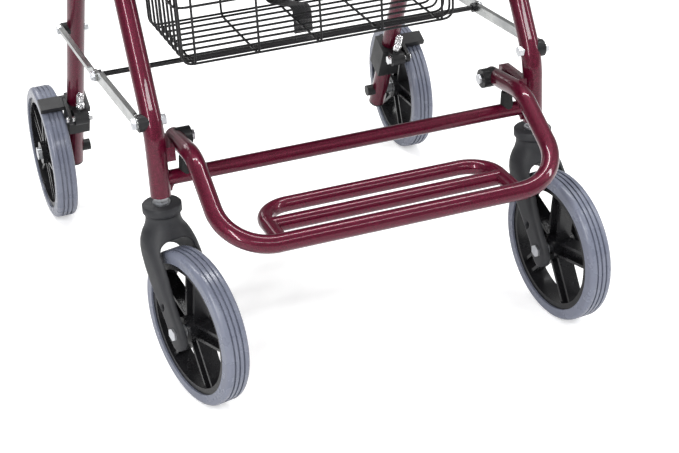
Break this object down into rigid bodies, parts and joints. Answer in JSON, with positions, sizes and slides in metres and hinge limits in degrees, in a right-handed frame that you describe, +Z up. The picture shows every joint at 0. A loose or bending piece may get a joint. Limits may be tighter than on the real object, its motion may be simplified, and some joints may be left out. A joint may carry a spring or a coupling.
{
  "type": "rollator",
  "caption": "Folding burgundy rollator that doubles as a transport chair, with swivelling front wheels, padded seat, wire basket, flip-up footrest and loop brakes",
  "frame": {"origin": "On the floor, at the middle of the footprint", "axes": "+Z up, -Y towards the footrest end, +Y towards the push handles, +X towards the right caster seen from the footrest end"},
  "size_m": [0.6166, 0.8232, 0.925],
  "materials": {
    "burgundy_paint": "metallic burgundy gloss paint with fine flake",
    "black_plastic": "black moulded plastic with a fine grain",
    "black_metal": "satin black powder coat",
    "zinc": "zinc plated steel",
    "grey_tyre": "blue-grey solid tyre with ribbed tread",
    "black_rubber": "soft black rubber",
    "black_vinyl": "black grained vinyl over foam",
    "webbing": "black woven webbing"
  },
  "bodies": {
    "front_frame": {"front_leg_L": "burgundy_paint", "front_leg_R": "burgundy_paint", "cross_tube": "burgundy_paint", "seat_frame": "burgundy_paint", "hinge_brackets": "black_plastic", "frame_bolts": "zinc", "brace_spacers": "black_plastic", "bumpers": "black_rubber", "footrest_brackets": "burgundy_paint", "handle_knobs": "black_plastic", "arm_brackets": "black_plastic"},
    "rear_frame": {"rear_leg_L": "burgundy_paint", "rear_leg_R": "burgundy_paint", "rear_cross_tube": "burgundy_paint", "brake_clamps": "black_plastic", "brake_adjusters": "zinc", "rear_axles": "zinc", "rear_plugs": "black_plastic", "rear_brace_bolts": "zinc"},
    "rear_wheel_L": {"rear_tyre_L": "grey_tyre", "rear_rim_L": "black_plastic"},
    "rear_wheel_R": {"rear_tyre_R": "grey_tyre", "rear_rim_R": "black_plastic"},
    "caster_L": {"fork_L": "black_plastic", "caster_axle_L": "zinc"},
    "caster_R": {"fork_R": "black_plastic", "caster_axle_R": "zinc"},
    "caster_wheel_L": {"caster_tyre_L": "grey_tyre", "caster_rim_L": "black_plastic"},
    "caster_wheel_R": {"caster_tyre_R": "grey_tyre", "caster_rim_R": "black_plastic"},
    "brake_L": {"brake_arm_L": "black_metal"},
    "brake_R": {"brake_arm_R": "black_metal"},
    "brace_front": {"brace_front_L": "zinc", "brace_front_R": "zinc", "cross_rod": "black_metal", "strap_loop": "webbing"},
    "brace_rear": {"brace_rear_L": "zinc", "brace_rear_R": "zinc"},
    "footrest": {"footrest_hoop": "burgundy_paint", "footrest_rack": "burgundy_paint", "footrest_caps": "black_plastic"},
    "seat": {"seat_board": "black_plastic", "seat_cushion": "black_vinyl"},
    "basket_unit": {"basket": "black_metal", "basket_hooks": "black_metal", "strap": "webbing"},
    "armrest_L": {"arm_tube_L": "burgundy_paint", "arm_pad_L": "black_vinyl"},
    "armrest_R": {"arm_tube_R": "burgundy_paint", "arm_pad_R": "black_vinyl"},
    "backrest": {"back_hoop": "burgundy_paint", "back_pad": "black_vinyl"},
    "handle_unit_L": {"handle_L": "burgundy_paint", "grip_L": "black_rubber"},
    "handle_unit_R": {"handle_R": "burgundy_paint", "grip_R": "black_rubber"},
    "lever_L": {"brake_lever_L": "black_metal"},
    "lever_R": {"brake_lever_R": "black_metal"}
  },
  "joints": [
    {"name": "fold", "type": "hinge", "parent": "front_frame", "child": "rear_frame", "pos_m": [0, -0.00347, 0.671], "axis": [-1, 0, 0], "range_deg": [0, 15]},
    {"name": "brace_front_turn", "type": "hinge", "parent": "front_frame", "child": "brace_front", "pos_m": [0, -0.2321, 0.351], "axis": [1, 0, 0], "range_deg": [0, 32.6]},
    {"name": "brace_rear_turn", "type": "hinge", "parent": "rear_frame", "child": "brace_rear", "pos_m": [0, 0.1819, 0.335], "axis": [-1, 0, 0], "range_deg": [0, 31.8]},
    {"name": "basket_lift", "type": "slide", "parent": "front_frame", "child": "basket_unit", "axis": [0, 0, 1], "range_m": [0, 0.088]},
    {"name": "seat_flip", "type": "hinge", "parent": "front_frame", "child": "seat", "pos_m": [0, -0.19345, 0.53], "axis": [1, 0, 0], "range_deg": [0, 60.5]},
    {"name": "footrest_flip", "type": "hinge", "parent": "front_frame", "child": "footrest", "pos_m": [0, -0.19845, 0.309], "axis": [-1, 0, 0], "range_deg": [0, 90]},
    {"name": "backrest_flip", "type": "hinge", "parent": "front_frame", "child": "backrest", "pos_m": [0, 0.00519, 0.762], "axis": [1, 0, 0], "range_deg": [0, 70]},
    {"name": "armrest_flip_L", "type": "hinge", "parent": "front_frame", "child": "armrest_L", "pos_m": [-0.25, -0.04042, 0.743], "axis": [-1, 0, 0], "range_deg": [0, 85]},
    {"name": "armrest_flip_R", "type": "hinge", "parent": "front_frame", "child": "armrest_R", "pos_m": [0.25, -0.04042, 0.743], "axis": [-1, 0, 0], "range_deg": [0, 85]},
    {"name": "handle_height_L", "type": "slide", "parent": "front_frame", "child": "handle_unit_L", "axis": [0, 0.5, 0.866], "range_m": [0, 0.1]},
    {"name": "lever_squeeze_L", "type": "hinge", "parent": "handle_unit_L", "child": "lever_L", "pos_m": [-0.25, 0.12575, 0.883], "axis": [1, 0, 0], "range_deg": [0, 12], "stiffness_Nm_per_rad": 0.6, "springref_deg": -17.19},
    {"name": "brake_turn_L", "type": "hinge", "parent": "rear_frame", "child": "brake_L", "pos_m": [-0.266, 0.22994, 0.17893], "axis": [-1, 0, 0], "range_deg": [0, 5], "stiffness_Nm_per_rad": 0.3, "springref_deg": -17.19},
    {"name": "caster_swivel_L", "type": "hinge", "parent": "front_frame", "child": "caster_L", "pos_m": [-0.25, -0.23845, 0.25], "axis": [0, 0, 1], "continuous": true},
    {"name": "caster_roll_L", "type": "hinge", "parent": "caster_L", "child": "caster_wheel_L", "pos_m": [-0.23548, -0.29667, 0.1], "axis": [0.9703, 0.2419, 0], "continuous": true},
    {"name": "rear_roll_L", "type": "hinge", "parent": "rear_frame", "child": "rear_wheel_L", "pos_m": [-0.286, 0.31155, 0.1], "axis": [1, 0, 0], "continuous": true},
    {"name": "handle_height_R", "type": "slide", "parent": "front_frame", "child": "handle_unit_R", "axis": [0, 0.5, 0.866], "range_m": [0, 0.1]},
    {"name": "lever_squeeze_R", "type": "hinge", "parent": "handle_unit_R", "child": "lever_R", "pos_m": [0.25, 0.12575, 0.883], "axis": [1, 0, 0], "range_deg": [0, 12], "stiffness_Nm_per_rad": 0.6, "springref_deg": -17.19},
    {"name": "brake_turn_R", "type": "hinge", "parent": "rear_frame", "child": "brake_R", "pos_m": [0.266, 0.22994, 0.17893], "axis": [-1, 0, 0], "range_deg": [0, 5], "stiffness_Nm_per_rad": 0.3, "springref_deg": -17.19},
    {"name": "caster_swivel_R", "type": "hinge", "parent": "front_frame", "child": "caster_R", "pos_m": [0.25, -0.23845, 0.25], "axis": [0, 0, 1], "continuous": true},
    {"name": "caster_roll_R", "type": "hinge", "parent": "caster_R", "child": "caster_wheel_R", "pos_m": [0.25731, -0.298, 0.1], "axis": [0.9925, 0.1219, 0], "continuous": true},
    {"name": "rear_roll_R", "type": "hinge", "parent": "rear_frame", "child": "rear_wheel_R", "pos_m": [0.286, 0.31155, 0.1], "axis": [1, 0, 0], "continuous": true}
  ],
  "couplings": [
    {"joint": "brace_front_turn", "follows": "fold", "ratio": 2.1388},
    {"joint": "brace_rear_turn", "follows": "fold", "ratio": 2.0839},
    {"joint": "basket_lift", "follows": "fold", "m_per_rad": 0.3323},
    {"joint": "seat_flip", "follows": "fold", "ratio": 4},
    {"joint": "brake_turn_L", "follows": "lever_squeeze_L", "ratio": 0.4},
    {"joint": "brake_turn_R", "follows": "lever_squeeze_R", "ratio": 0.4}
  ]
}
